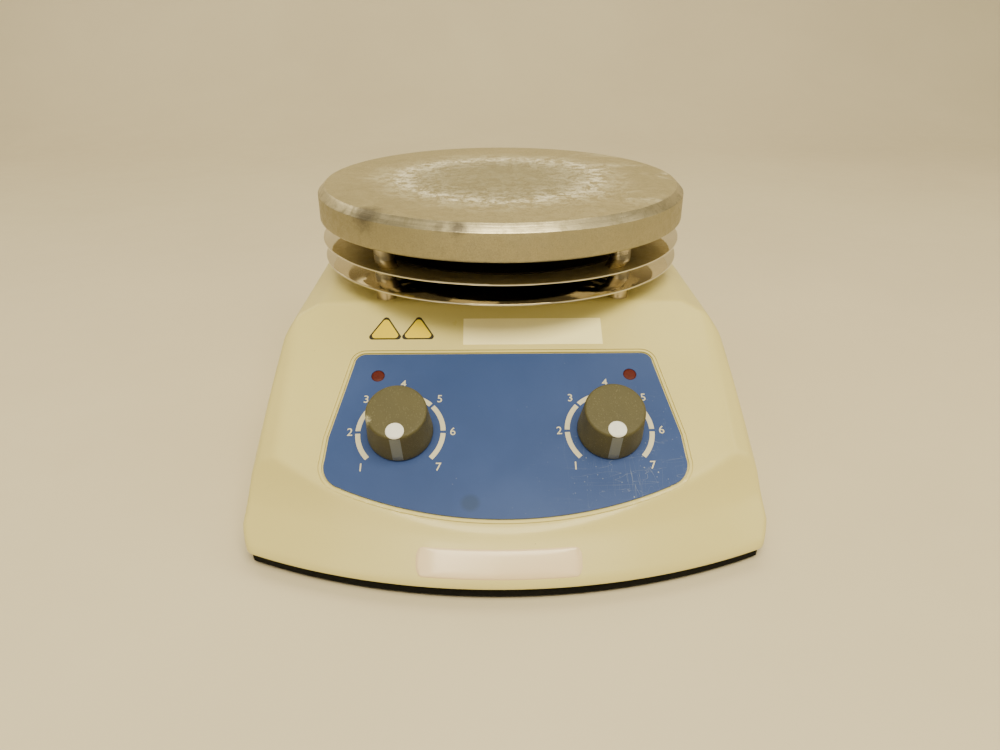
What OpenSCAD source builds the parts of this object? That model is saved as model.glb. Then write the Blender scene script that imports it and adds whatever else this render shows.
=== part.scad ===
// Laboratory hot plate with magnetic stirrer, bench type.
// Units are millimetres, +Z is up, the control panel faces -Y.
// The origin is on the bench, under the middle of the whole footprint.

/* [Housing] */
// width of the housing at its widest, near the front corners
body_w = 188.6; // [160:0.2:220]
// how far the front rim sits from the middle
front_y = 135; // [110:1:160]
// how far the rear face sits from the middle
rear_y = 132.5; // [110:0.5:160]
// height of the flat deck under the heating plate
deck_z = 71.5; // [50:0.5:90]
// bottom edge of the housing wall
skirt_z = 6.6; // [5.5:0.1:7]
// where the flat deck ends and the sloping front begins
brow_y = -39; // [-60:1:-20]
// slope of the control panel from the horizontal
slope = 31; // [15:1:60]
// wall thickness
wall = 3; // [1.5:0.1:5]
// radius of the bowed front rim, seen from above
bow_r = 218; // [150:1:400]

/* [Heating plate] */
// diameter of the round plate
plate_d = 160; // [100:1:200]
// thickness of the plate
plate_t = 14; // [8:0.5:25]
// top of the plate above the bench
plate_z = 110; // [80:0.5:140]
// distance of the plate axis behind the middle
plate_y = 14; // [0:0.5:40]
// bevel around the top edge of the plate
plate_c = 3; // [0:0.1:5]

/* [Heat shields] */
// diameter of the upper shield disc
shield1_d = 159; // [100:0.5:200]
// diameter of the lower shield disc
shield2_d = 158; // [100:0.5:200]
// top of the upper shield
shield1_z = 88; // [75:0.1:100]
// top of the lower shield
shield2_z = 80; // [72:0.1:95]
// sheet thickness of the shields
shield_t = 0.8; // [0.4:0.1:2]
// distance of each pillar from the plate axis, along X and along Y
pillar_x = 47.5; // [30:0.5:60]
// outside diameter of the spacer tubes
pillar_d = 8; // [5:0.5:12]
// diameter of the pillar studs
stud_d = 4; // [3:0.5:6]

/* [Panel] */
// half width of the coloured panel along its top edge
fascia_top = 57; // [40:0.5:75]
// half width of the coloured panel near its lower corners
fascia_low = 64.3; // [40:0.5:80]
// top edge of the panel, measured up the slope from the dials
fascia_up = 34; // [20:0.5:45]
// lowest point of the bowed lower edge, measured down the slope
fascia_dn = 33.6; // [20:0.2:45]
// thickness of the panel foil
fascia_t = 0.8; // [0.3:0.1:2]
// distance of each dial from the centre line
dial_x = 37.9; // [25:0.1:55]
// where the dial centres lie on the slope, along Y
dial_y = -90.3; // [-110:0.1:-70]
// mean radius of the printed dial ring
ring_r = 15.4; // [10:0.1:22]
// stroke width of the printed dial ring
ring_w = 1.8; // [0.5:0.1:4]

/* [Knobs] */
// diameter at the foot of the knob
knob_d1 = 23.8; // [15:0.1:35]
// diameter at the top of the knob
knob_d2 = 21.4; // [12:0.1:35]
// height of the knob
knob_h = 15.5; // [8:0.1:30]
// diameter of the control shaft
shaft_d = 6; // [4:0.1:8]
// running clearance of a shaft, on the radius
run_c = 0.05; // [0.01:0.01:0.1]

/* [Drive] */
// diameter of the motor can
motor_d = 62; // [40:1:80]
// diameter of the motor shaft
mshaft_d = 6; // [4:0.5:10]
// diameter of the magnet carrier
rotor_d = 72; // [40:1:80]

/* [Rear] */
// centre of the power inlet across the rear face
inlet_x = -38; // [-60:1:60]
// height of the power inlet
inlet_z = 32; // [20:1:45]
// diameter of the threaded hole for a support rod
rod_d = 10; // [6:0.5:14]

/* [Hidden] */
$fn = 72;
e = 0.01;
tans = tan(slope);
coss = cos(slope);
dial_z = deck_z + (dial_y - brow_y) * tans;
hub_x = body_w/2 - 22;          // centres of the round corners
front_cy = -103;
tray_z = 1.4;                   // lowest edge of the dark base tray
floor_z = 5;                    // inside floor, the top of the base plate
plate_b = plate_z - plate_t;
deck_b = deck_z - wall;
r45 = pillar_x;
lead_y = plate_y + 47;

// ---------- placing helpers ----------
// local frame of the sloping panel: +z leaves the panel, +y goes up the slope
module on_panel(x = 0, y = 0) {
  translate([0, dial_y, dial_z]) rotate([slope, 0, 0]) translate([x, y, 0]) children();
}
module at_plate() { translate([0, plate_y, 0]) children(); }
module corners(x, y) {
  for (sx = [-1, 1], sy = [-1, 1]) translate([sx * x, sy * y, 0]) children();
}
module tube(od, id, h) {
  difference() { cylinder(d = od, h = h); translate([0, 0, -1]) cylinder(d = id, h = h + 2); }
}
module box(x0, x1, y0, y1, z0, z1) {
  translate([x0, y0, z0]) cube([x1 - x0, y1 - y0, z1 - z0]);
}

// ---------- housing form ----------
// outline seen from above, pulled in by d
module outline(d = 0) {
  r1 = 22 - d; r2 = 16 - d; cy2 = rear_y - 16;
  a = asin((22 - 16) / (cy2 - front_cy));
  // the straight sides run a hair inside the corner arcs
  q1 = r1 - 0.03; q2 = r2 - 0.03;
  for (s = [-1, 1]) {
    translate([s * hub_x, front_cy]) circle(r = r1);
    translate([s * hub_x, cy2]) circle(r = r2);
  }
  polygon([
    [hub_x + q1 * cos(a), front_cy + q1 * sin(a)], [hub_x + q2 * cos(a), cy2 + q2 * sin(a)],
    [hub_x, cy2], [hub_x, cy2 + q2], [-hub_x, cy2 + q2], [-hub_x, cy2],
    [-hub_x - q2 * cos(a), cy2 + q2 * sin(a)], [-hub_x - q1 * cos(a), front_cy + q1 * sin(a)],
    [-hub_x, front_cy], [-hub_x, front_cy - q1], [-58, -front_y - 5], [58, -front_y - 5],
    [hub_x, front_cy - q1], [hub_x, front_cy]]);
}
// the bowed apron, a turned form with its axis well behind the front rim
module apron(d = 0) {
  translate([0, bow_r - front_y, 0]) rotate_extrude($fn = 240)
    polygon([[0, -2], [bow_r - 2.2 - d, -2], [bow_r - d, 7.2],
      [bow_r - 0.8 - d, 9], [bow_r - 11.9 - d, 20.4], [bow_r - 14.4 - d, 25],
      [bow_r - 16.4 - d, 36], [bow_r - 17 - d, 90], [0, 90]]);
}
module side_form(d = 0) {
  k = d / coss;
  rotate([90, 0, 90]) translate([0, 0, -120]) linear_extrude(240)
    polygon([[rear_y + 6, -4], [rear_y + 6, 48 - d], [rear_y - d, 59 - d], [rear_y - 5 - d, 65 - d], [114 - d, deck_z - d],
      [brow_y + (k - d) / tans, deck_z - d], [brow_y - (deck_z - k + 4) / tans, -4]]);
}
module end_form(d = 0) {
  w = body_w / 2 + 0.3;
  // the gentle shoulder carries on inwards above the deck, which cuts it off
  rise = 67.8 - d + (w - 52.2 - d) * 0.4;
  rotate([90, 0, 0]) translate([0, 0, -160]) linear_extrude(320)
    polygon([[w - d, -3], [w - d, 14], [w - 6 - d, 50], [w - 7.6 - d, 61 - d], [w - 12.2 - d, 67.8 - d], [40, rise], [-40, rise],
      [-w + 12.2 + d, 67.8 - d], [-w + 7.6 + d, 61 - d], [-w + 6 + d, 50], [-w + d, 14], [-w + d, -3]]);
}
// bevel that runs down both sides of the sloping front
module bevel_form(d = 0) {
  on_panel() rotate([90, 0, 0]) translate([0, 0, -260]) linear_extrude(420)
    polygon([[82 - d, -d], [89.3 - d, -4 - d], [99 - d, -18 - d], [99, -140], [-99, -140],
      [-99 + d, -18 - d], [-89.3 + d, -4 - d], [-82 + d, -d]]);
}
module body_form(d = 0, z0 = skirt_z) {
  intersection() {
    translate([0, 0, z0]) linear_extrude(90) outline(d);
    apron(d);
    side_form(d);
    end_form(d);
    bevel_form(d);
  }
}
// panel outline in the plane of the slope, grown by g
module fascia_2d(g = 0) {
  bow = 146;   // radius of the lower edge
  ear = 9;     // radius of the two lower corners, which meet the lower edge smoothly
  intersection() {
    translate([0, -fascia_dn + bow]) circle(r = bow + g, $fn = 240);
    union() {
      polygon([[-fascia_top - g, fascia_up - 4], [-fascia_top + 4, fascia_up + g], [fascia_top - 4, fascia_up + g],
        [fascia_top + g, fascia_up - 4], [60.7 + g, 12], [63.6 + g, -2], [fascia_low + g - 0.1, -12.9],
        [fascia_low - ear, -12.9], [58, -24.3], [40, -40], [-40, -40], [-58, -24.3],
        [-fascia_low + ear, -12.9], [-fascia_low - g + 0.1, -12.9], [-63.6 - g, -2], [-60.7 - g, 12]]);
      for (s = [-1, 1]) {
        translate([s * (fascia_top - 4), fascia_up - 4]) circle(r = 4 + g);
        translate([s * (fascia_low - ear), -12.9]) circle(r = ear + g);
      }
    }
  }
}

module housing() {
  color("#e9e3d2") difference() {
    union() {
      difference() { body_form(); body_form(wall, skirt_z - 1); }
      // posts that carry the control board
      for (x = [-59, 59], y = [-19, 19]) on_panel(x, y) translate([0, 0, -22.8]) cylinder(d = 7, h = 21);
      // posts for the motor bracket
      for (x = [-42, 42], y = [-24, 24]) translate([x, plate_y + y, 47.5]) cylinder(d = 8, h = deck_b - 47);
      // posts for the base plate
      intersection() {
        for (p = base_pts) translate([p[0], p[1], floor_z]) cylinder(d = 8, h = 80);
        body_form(1, floor_z);
      }
      // boss for the rod socket
      translate([rod_x, rod_y, 38]) cylinder(d = 22, h = 32);
    }
    // recess for the panel foil, a little larger than the foil
    on_panel() translate([0, 0, -fascia_t]) linear_extrude(10) fascia_2d(0.7);
    for (s = [-1, 1]) {
      on_panel(s * dial_x, 0) translate([0, 0, -10]) cylinder(d = 9.4, h = 20);
      on_panel(s * 47.8, 24.2) translate([0, 0, -10]) cylinder(d = 5.1, h = 20);
    }
    for (x = [-59, 59], y = [-19, 19]) on_panel(x, y) translate([0, 0, -24]) cylinder(d = 2.5, h = 12, $fn = 24);
    for (x = [-42, 42], y = [-24, 24]) translate([x, plate_y + y, 46]) cylinder(d = 2.5, h = 14, $fn = 24);
    for (p = base_pts) translate([p[0], p[1], floor_z - 1]) cylinder(d = 2.5, h = 12, $fn = 24);
    at_plate() corners(r45, r45) translate([0, 0, deck_b - 1]) cylinder(d = stud_d + 0.2, h = wall + 2);
    translate([0, lead_y, deck_b - 1]) cylinder(d = 14, h = wall + 2);
    translate([rod_x, rod_y, 36]) cylinder(d = 16, h = 50);
    // window for the power inlet and its screws
    translate([inlet_x, 0, inlet_z]) {
      box(-16, 16, rear_y - 20, rear_y + 1, -13, 16);
      for (s = [-1, 1]) translate([s * 20, rear_y - 20, 0]) rotate([-90, 0, 0]) cylinder(d = 2.5, h = 22, $fn = 24);
    }
    // ventilation slots low in the rear face
    for (i = [0:7]) box(14 + i * 7, 17.4 + i * 7, rear_y - 6, rear_y + 1, 16, 40);
  }
}
base_pts = [[-82, -84], [82, -84], [-82, 30], [82, 30], [-76, 122], [76, 122]];
rod_x = 58;
rod_y = 103;

module base_plate() {
  color("#2b2b2a") difference() {
    translate([0, 0, tray_z]) intersection() {
      linear_extrude(skirt_z - tray_z) outline(1.8);
      translate([0, bow_r - front_y, -1]) cylinder(r = bow_r - 2.6, h = 10, $fn = 240);
    }
    // the rim stands up to the housing around the inside floor
    translate([0, 0, floor_z]) intersection() {
      linear_extrude(4) outline(5.2);
      translate([0, bow_r - front_y, -1]) cylinder(r = bow_r - 6.8, h = 10, $fn = 240);
    }
    // hollow underneath, so only a rim hangs down around the feet
    translate([0, 0, tray_z - 2]) intersection() {
      linear_extrude(3.4 - tray_z + 2) outline(5.2);
      translate([0, bow_r - front_y, -1]) cylinder(r = bow_r - 6.8, h = 10, $fn = 240);
    }
    for (p = base_pts) translate([p[0], p[1], 0]) cylinder(d = 3.2, h = 10, $fn = 24);
    for (p = foot_pts) translate([p[0], p[1], 0]) cylinder(d = 4.2, h = 10, $fn = 24);
    // vent slots under the motor
    for (i = [-4:4]) box(-26, 26, plate_y + i * 8 - 1.6, plate_y + i * 8 + 1.6, 3, 6);
  }
}
foot_pts = [[-70, -92], [70, -92], [-66, 108], [66, 108]];
module rubber_feet() {
  color("#1d1d1d") for (p = foot_pts) translate([p[0], p[1], 0]) difference() {
    rotate_extrude() polygon([[0, 0], [8.4, 0], [9, 0.6], [9.4, 3.4], [0, 3.4]]);
    translate([0, 0, -1]) cylinder(d = 7.4, h = 2.6);
    translate([0, 0, -1]) cylinder(d = 4, h = 6);
  }
}
module foot_screws() {
  color("#a9a9a6") for (p = foot_pts) translate([p[0], p[1], 0]) {
    translate([0, 0, 0.5]) difference() { cylinder(d = 7, h = 1.1); translate([0, 0, -0.1]) cylinder(d = 3, h = 0.8, $fn = 6); }
    translate([0, 0, 1.6]) cylinder(d = 3.8, h = 7.4);
    translate([0, 0, floor_z]) cylinder(d = 7, h = 3, $fn = 6);
  }
}
module base_screws() {
  color("#a9a9a6") for (p = base_pts) translate([p[0], p[1], 0]) {
    difference() { translate([0, 0, 1.6]) cylinder(d = 5.6, h = 1.8); box(-3, 3, -0.4, 0.4, 1.4, 2.3); }
    translate([0, 0, 3.4]) cylinder(d = 2.5, h = 10, $fn = 24);
  }
}

module fascia() {
  color("#56688f") on_panel() difference() {
    translate([0, 0, -fascia_t]) linear_extrude(fascia_t) fascia_2d();
    for (s = [-1, 1]) {
      translate([s * dial_x, 0, -3]) cylinder(d = 9.4, h = 6);
      translate([s * 47.8, 24.2, -3]) cylinder(d = 5.1, h = 6);
      // shallow printing bed for the dial arcs
      translate([s * dial_x, 0, -0.1]) for (i = [0:5]) rotate(-135 - 45 * i - 43) rotate_extrude(angle = 41, $fn = 180)
        translate([ring_r - ring_w / 2, 0]) square([ring_w, 1]);
    }
  }
}
// printed arcs: six steps of 45 degrees, from 1 at the lower left to 7 at the lower right
module dial_rings() {
  color("#efeee6") on_panel() for (s = [-1, 1]) translate([s * dial_x, 0, -0.1])
    for (i = [0:5]) rotate(-135 - 45 * i - 43) rotate_extrude(angle = 41, $fn = 180)
      translate([ring_r - ring_w / 2, 0]) square([ring_w, 0.15]);
}
module lamp(x) {
  color("#7c1c1a") on_panel(x, 24.2) {
    translate([0, 0, -wall - 0.5]) cylinder(d = 5, h = wall + 0.7);
    translate([0, 0, -wall - 1]) cylinder(d = 7, h = 1);
    translate([0, 0, 0.2]) rotate_extrude() polygon([[0, 0], [2.5, 0], [2.2, 0.25], [1.3, 0.45], [0, 0.5]]);
  }
}
module heating_lamp() { lamp(-47.8); }
module stirring_lamp() { lamp(47.8); }
module lamp_leds() {
  color("#c9463f") for (s = [-1, 1]) on_panel(s * 47.8, 24.2) translate([0, 0, -22.8]) {
    cylinder(d = 5.6, h = 1.2);
    cylinder(d = 4.8, h = 15);
    translate([0, 0, 15]) sphere(d = 4.8, $fn = 36);
  }
}
// rotary control: body below the wall, threaded neck through it
module pot_bodies() {
  color("#7d7f80") for (s = [-1, 1]) on_panel(s * dial_x, 0) difference() {
    union() {
      translate([0, 0, -22.8]) cylinder(d = 20, h = 14.8);
      box(-11, 11, -16, -6, -22.8, -19);
      translate([0, 0, -8]) cylinder(d = 16, h = 8 - wall);
      translate([0, 0, -wall - 1]) cylinder(d = 9, h = wall + 5.5);
    }
    translate([0, 0, -20]) cylinder(d = shaft_d + 2 * run_c, h = 40);
  }
}
module pot_nuts() {
  color("#b8b6ae") for (s = [-1, 1]) on_panel(s * dial_x, 0) {
    tube(14, 9.1, 0.6);
    translate([0, 0, 0.6]) difference() { cylinder(d = 13, h = 2.4, $fn = 6); translate([0, 0, -1]) cylinder(d = 9.1, h = 5); }
  }
}
module control_board() {
  color("#2f5f3e") on_panel() difference() {
    box(-66, 66, -25, 27, -24.4, -22.8);
    for (x = [-59, 59], y = [-19, 19]) translate([x, y, -30]) cylinder(d = 3.2, h = 10, $fn = 24);
  }
}
module board_parts() {
  on_panel() {
    // relay, smoothing capacitors and the power switch with its fin
    color("#2b4f8a") box(-12, 8, -6, 10, -22.8, -8.5);
    color("#26262a") for (x = [-8, 3]) translate([x, 17, -22.8]) cylinder(d = 9, h = 13);
    color("#c7c8c8") box(12, 22, -20, -4, -22.8, -12);
    color("#222222") box(-10, 2, -20, -12, -22.8, -19.5);
    color("#3b6f4b") for (x = [-64, 64]) box(x - 0.01 - (x > 0 ? 6 : -2), x + (x > 0 ? -2 : 6), -8, 8, -22.8, -14);
  }
}
module board_screws() {
  color("#a9a9a6") for (x = [-59, 59], y = [-19, 19]) on_panel(x, y) {
    translate([0, 0, -26.2]) difference() { cylinder(d = 5.4, h = 1.8); box(-3, 3, -0.4, 0.4, -0.1, 0.7); }
    translate([0, 0, -24.4]) cylinder(d = 2.5, h = 9, $fn = 24);
  }
}

// ---------- drive ----------
module motor_bracket() {
  color("#9b9d9e") difference() {
    union() {
      box(-48, 48, plate_y - 30, plate_y + 30, 46, 47.5);
    }
    at_plate() translate([0, 0, 40]) cylinder(d = 22.2, h = 20);
    for (x = [-42, 42], y = [-24, 24]) translate([x, plate_y + y, 40]) cylinder(d = 3.2, h = 20, $fn = 24);
    for (s = [-1, 1]) translate([0, plate_y + s * 26.5, 40]) cylinder(d = 3.2, h = 20, $fn = 24);
  }
}
module bracket_screws() {
  color("#a9a9a6") {
    for (x = [-42, 42], y = [-24, 24]) translate([x, plate_y + y, 0]) {
      translate([0, 0, 44.2]) cylinder(d = 5.4, h = 1.8);
      translate([0, 0, 46]) cylinder(d = 2.5, h = 10, $fn = 24);
    }
    for (s = [-1, 1]) translate([0, plate_y + s * 26.5, 0]) {
      translate([0, 0, 47.5]) cylinder(d = 5, h = 1.6);
      translate([0, 0, 41]) cylinder(d = 2.5, h = 6.5, $fn = 24);
    }
  }
}
module motor_can() {
  color("#6f7274") at_plate() difference() {
    union() {
      translate([0, 0, 14]) cylinder(d = motor_d, h = 32);
      translate([0, 0, 11]) cylinder(d = 20, h = 3.5);
      translate([0, 0, 45.5]) cylinder(d = 22, h = 4.5);
    }
    translate([0, 0, 17]) cylinder(d = motor_d - 12, h = 25);
    translate([0, 0, 12.5]) cylinder(d = 16, h = 5);
    translate([0, 0, 41]) cylinder(d = 16, h = 7.5);
    translate([0, 0, 5]) cylinder(d = mshaft_d + 1, h = 60);
    for (s = [-1, 1]) translate([0, s * 26.5, 40]) cylinder(d = 2.5, h = 10, $fn = 24);
  }
}
module motor_bearings() {
  color("#b7b9ba") at_plate() for (z = [12.5, 43.5]) translate([0, 0, z]) tube(16, mshaft_d + 2 * run_c, 5);
}
module motor_shaft() {
  color("#c2c4c5") at_plate() {
    translate([0, 0, 11.6]) cylinder(d = mshaft_d, h = 47.4);
    translate([0, 0, 18.1]) cylinder(d = 9, h = 1.6);
    translate([0, 0, 41.3]) cylinder(d = 9, h = 1.6);
  }
}
module armature() {
  color("#8a5a34") at_plate() translate([0, 0, 19.7]) difference() {
    cylinder(d = 48, h = 20);
    translate([0, 0, -1]) cylinder(d = mshaft_d, h = 30);
    for (a = [0:30:330]) rotate(a) translate([24, 0, -1]) cylinder(d = 4, h = 30, $fn = 24);
  }
}
module magnet_carrier() {
  color("#3c3d3f") at_plate() difference() {
    union() {
      translate([0, 0, 51]) cylinder(d = 18, h = 5);
      translate([0, 0, 56]) intersection() { cylinder(d = rotor_d, h = 10); box(-40, 40, -13, 13, -1, 12); }
    }
    translate([0, 0, 45]) cylinder(d = mshaft_d, h = 14);
    for (s = [-1, 1]) translate([s * 22, 0, 58]) cylinder(d = 20, h = 10);
    translate([0, 0, 53.5]) rotate([90, 0, 0]) cylinder(d = 3, h = 12, $fn = 24);
  }
}
module drive_magnets() {
  color("#b4b4b6") at_plate() for (s = [-1, 1]) translate([s * 22, 0, 58]) cylinder(d = 20, h = 8.6);
}
module grub_screw() {
  color("#2a2a2c") at_plate() translate([0, -3, 53.5]) rotate([90, 0, 0]) difference() {
    cylinder(d = 3, h = 5.8, $fn = 24);
    translate([0, 0, 4.4]) cylinder(d = 1.6, h = 3, $fn = 6);
  }
}

// ---------- power inlet ----------
module power_inlet() {
  color("#1f1f20") translate([inlet_x, 0, inlet_z]) difference() {
    union() {
      box(-25, 25, rear_y, rear_y + 2.5, -15.5, 18.5);
      box(-15.8, 15.8, rear_y - 27, rear_y + e, -12.8, 15.8);
    }
    // socket well
    translate([0, rear_y + 3, -3]) rotate([90, 0, 0]) linear_extrude(19.5)
      polygon([[-12.3, -8.3], [12.3, -8.3], [12.3, 4.3], [8.3, 8.3], [-8.3, 8.3], [-12.3, 4.3]]);
    // tunnel of the fuse drawer
    box(-11.3, 11.3, rear_y - 23.3, rear_y + 3, 6.9, 14.3);
    for (s = [-1, 1]) translate([s * 20, rear_y - 1, 0]) rotate([-90, 0, 0]) {
      cylinder(d = 3.2, h = 6);
      translate([0, 0, 1.9]) cylinder(d1 = 3.2, d2 = 6.4, h = 1.61);
    }
  }
}
module inlet_pins() {
  color("#c9b98a") translate([inlet_x, 0, inlet_z - 3]) {
    for (s = [-1, 1]) box(s * 7 - 1, s * 7 + 1, rear_y - 16.5, rear_y - 3.2, -4.2, -0.2);
    box(-1, 1, rear_y - 16.5, rear_y - 2.8, 1.6, 5.6);
    // solder tabs behind the body
    for (s = [-1, 0, 1]) box(s * 7 - 2.4, s * 7 + 2.4, rear_y - 35, rear_y - 27, -2, -1.2);
  }
}
module inlet_screws() {
  color("#a9a9a6") translate([inlet_x, rear_y, inlet_z]) for (s = [-1, 1]) translate([s * 20, 0, 0]) rotate([-90, 0, 0]) {
    translate([0, 0, -9]) cylinder(d = 2.5, h = 10, $fn = 24);
    difference() { translate([0, 0, 0.9]) cylinder(d1 = 3, d2 = 6.1, h = 1.6); box(-4, 4, -0.4, 0.4, 1.9, 3); }
  }
}
module fuse_drawer() {
  color("#2a2a2b") translate([inlet_x, rear_y, inlet_z]) difference() {
    union() {
      box(-11, 11, -23, 2.3, 7.2, 14);
      box(-5, 5, 2.3, 2.5, 7.6, 13.6);
    }
    for (s = [-1, 1]) box(s * 5.4 - 2.8, s * 5.4 + 2.8, -22, -0.5, 8, 15);
    box(-4, 4, 1.2, 3, 12, 15);
  }
}
module fuses() {
  translate([inlet_x, rear_y - 21.4, inlet_z + 10.6]) for (s = [-1, 1]) translate([s * 5.4, 0, 0]) rotate([-90, 0, 0]) {
    color("#d4d2c8") for (z = [0, 15]) translate([0, 0, z]) cylinder(d = 5.2, h = 5);
    color("#bcd0d2") translate([0, 0, 5]) cylinder(d = 4.8, h = 10);
  }
}

// ---------- plate stack ----------
module work_plate() {
  color("#b9b5aa") at_plate() difference() {
    translate([0, 0, plate_b]) rotate_extrude($fn = 180) polygon([[0, 0], [plate_d / 2 - 1, 0], [plate_d / 2, 1],
      [plate_d / 2, plate_t - plate_c], [plate_d / 2 - plate_c, plate_t], [0, plate_t]]);
    // groove for the heater, pocket for the sensor and tapped holes for the studs
    translate([0, 0, plate_b - 1]) difference() { cylinder(r = 52.2, h = 6.2); translate([0, 0, -1]) cylinder(r = 43.8, h = 9); }
    translate([8, 0, plate_b - 1]) cylinder(d = 6.1, h = 9);
    corners(r45, r45) translate([0, 0, plate_b - 1]) cylinder(d = stud_d, h = 9);
    for (a = [45:90:315]) rotate(a) translate([30, 0, plate_b - 1]) cylinder(d = 2.5, h = 7, $fn = 24);
  }
}
module heater_element() {
  color("#55504a") at_plate() {
    translate([0, 0, plate_b]) difference() { cylinder(r = 52, h = 5); translate([0, 0, -1]) cylinder(r = 44, h = 7); }
    for (s = [-1, 1]) translate([s * 2.6, 47, plate_b - 4]) cylinder(d = 2.4, h = 4);
  }
}
module heater_clamp() {
  color("#3a3733") at_plate() {
    difference() {
      union() {
        translate([0, 0, plate_b - 2]) cylinder(r = 60, h = 2, $fn = 120);
        translate([0, 0, plate_b - 4]) cylinder(r = 40, h = 2);
      }
      translate([0, 0, plate_b - 5]) cylinder(r = 13, h = 6);
      translate([0, 47, plate_b - 5]) cylinder(r = 5.6, h = 6);
      for (a = [45:90:315]) rotate(a) translate([30, 0, plate_b - 5]) cylinder(d = 3.2, h = 6, $fn = 24);
      corners(r45, r45) translate([0, 0, plate_b - 5]) cylinder(d = pillar_d + 1, h = 6);
    }
    for (a = [45:90:315]) rotate(a) translate([30, 0, 0]) {
      translate([0, 0, plate_b - 5.6]) cylinder(d = 5.4, h = 1.6);
      translate([0, 0, plate_b - 4]) cylinder(d = 2.5, h = 9, $fn = 24);
    }
  }
}
module thermal_sensor() {
  color("#b9bcbd") at_plate() {
    translate([8, 0, plate_b - 6]) cylinder(d = 6, h = 13.6);
    // two thin insulated wires to the lead bushing
    for (s = [-1, 1]) {
      wire([8 + s * 1.2, 2, plate_b - 5.4], [s * 1.2 - 0.6, 43.6, plate_b - 5.4], 1.4);
      wire([s * 1.2 - 0.6, 43.6, plate_b - 5.4], [s * 1.2 - 0.6, 43.6, 55], 1.4);
      joint_ball([s * 1.2 - 0.6, 43.6, plate_b - 5.4], 1.4);
    }
  }
}
module wire(a, b, d) {
  v = b - a; l = norm(v);
  translate(a) rotate([0, acos(v[2] / l), atan2(v[1], v[0])]) cylinder(d = d, h = l, $fn = 20);
}
module joint_ball(a, d) { translate(a) sphere(d = d * 1.12, $fn = 20); }
module shield(d, z) {
  at_plate() difference() {
    union() {
      translate([0, 0, z - shield_t]) cylinder(d = d, h = shield_t, $fn = 180);
    }
    corners(r45, r45) translate([0, 0, z - 2]) cylinder(d = stud_d + 0.2, h = 4);
    translate([0, 47, z - 2]) cylinder(d = 13.8, h = 4);
  }
}
module upper_shield() { color("#cfcabd") shield(shield1_d, shield1_z); }
module lower_shield() { color("#cfcabd") shield(shield2_d, shield2_z); }
module spacers(z0, z1) {
  color("#b3a98c") at_plate() corners(r45, r45) translate([0, 0, z0]) tube(pillar_d, stud_d + 0.2, z1 - z0);
}
module spacers_upper() { spacers(shield1_z, plate_b); }
module spacers_middle() { spacers(shield2_z, shield1_z - shield_t); }
module spacers_lower() { spacers(deck_z, shield2_z - shield_t); }
module pillar_studs() {
  color("#a9a9a6") at_plate() corners(r45, r45) translate([0, 0, 60]) cylinder(d = stud_d, h = plate_b + 8 - 60);
}
module pillar_nuts() {
  color("#a9a9a6") at_plate() corners(r45, r45) translate([0, 0, deck_b - 5]) {
    translate([0, 0, 4]) tube(9, stud_d, 1);
    translate([0, 0, 0.8]) difference() { cylinder(d = 8, h = 3.2, $fn = 6); translate([0, 0, -1]) cylinder(d = stud_d, h = 6); }
  }
}
module lead_bushing() {
  color("#e4dcc8") translate([0, lead_y, 0]) difference() {
    union() {
      translate([0, 0, deck_b - 2]) cylinder(d = 13.6, h = 89.4 - deck_b + 2);
      translate([0, 0, deck_b - 3]) cylinder(d = 18, h = 3);
    }
    translate([0, 0, 60]) cylinder(d = 9.6, h = 40);
  }
}
module heater_leads() {
  color("#d8d2c2") translate([0, plate_y, 0]) for (s = [-1, 1]) {
    translate([s * 2.6, 47, 50]) cylinder(d = 2.4, h = plate_b - 4 - 50, $fn = 24);
    joint_ball([s * 2.6, 47, 50], 2.4);
    wire([s * 2.6, 47, 50], [s * 10 - 30, 72, 22], 2.4);
  }
}
module rod_socket() {
  color("#b5b7b8") translate([rod_x, rod_y, 0]) difference() {
    union() {
      translate([0, 0, 40]) cylinder(d = 16, h = deck_z + 0.8 - 40);
      translate([0, 0, deck_z]) cylinder(d = 19, h = 0.8);
    }
    translate([0, 0, 44]) cylinder(d = rod_d, h = 40);
    translate([0, 0, deck_z]) cylinder(d1 = rod_d, d2 = rod_d + 1.6, h = 0.81);
  }
}

// ---------- stickers, all blank ----------
module brow_label() {
  color("#f1eee4") on_panel(11.5, 44.6) linear_extrude(0.15) square([54.5, 12.6], center = true);
}
module apron_label() {
  color("#d9d5c8") intersection() {
    difference() { apron(-0.2); apron(-0.01); }
    box(-30.8, 25.2, -140, -110, 9.5, 16.7);
  }
}
module hazard_signs() {
  color("#e3bd2e") for (x = [-46.4, -33.5]) on_panel(x, 46.8) linear_extrude(0.15)
    polygon([[-6.2, -5.4], [6.2, -5.4], [0, 5.4]]);
}

// ---------- knobs ----------
module knob_form(g = 0) {
  rotate_extrude($fn = 90) polygon([[0, 0.6], [knob_d1 / 2 + g - 0.4, 0.6], [knob_d1 / 2 + g, 1],
    [knob_d2 / 2 + g, knob_h - 0.8], [knob_d2 / 2 - 0.8 + g, knob_h], [0, knob_h]]);
}
module pointer_cut() {
  box(-2.2, 2.2, -14, -knob_d2 / 2 + 1.2, -1, knob_h + 1);
  translate([0, -knob_d2 / 2 + 2.8, knob_h - 0.8]) cylinder(d = 6.6, h = 2, $fn = 48);
  box(-2.2, 2.2, -14, -knob_d2 / 2 + 2.8, knob_h - 0.8, knob_h + 1);
}
module knob(x) {
  color("#6c6a57") on_panel(x, 0) difference() {
    knob_form();
    pointer_cut();
    difference() {
      translate([0, 0, -1]) cylinder(d = knob_d2 - 4, h = 7);
      translate([0, 0, 4.8]) cylinder(d = 10, h = 4);
    }
    translate([0, 0, -1]) cylinder(d = 16, h = 5.4);
    translate([0, 0, 4]) cylinder(d = shaft_d, h = 9);
  }
}
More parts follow.
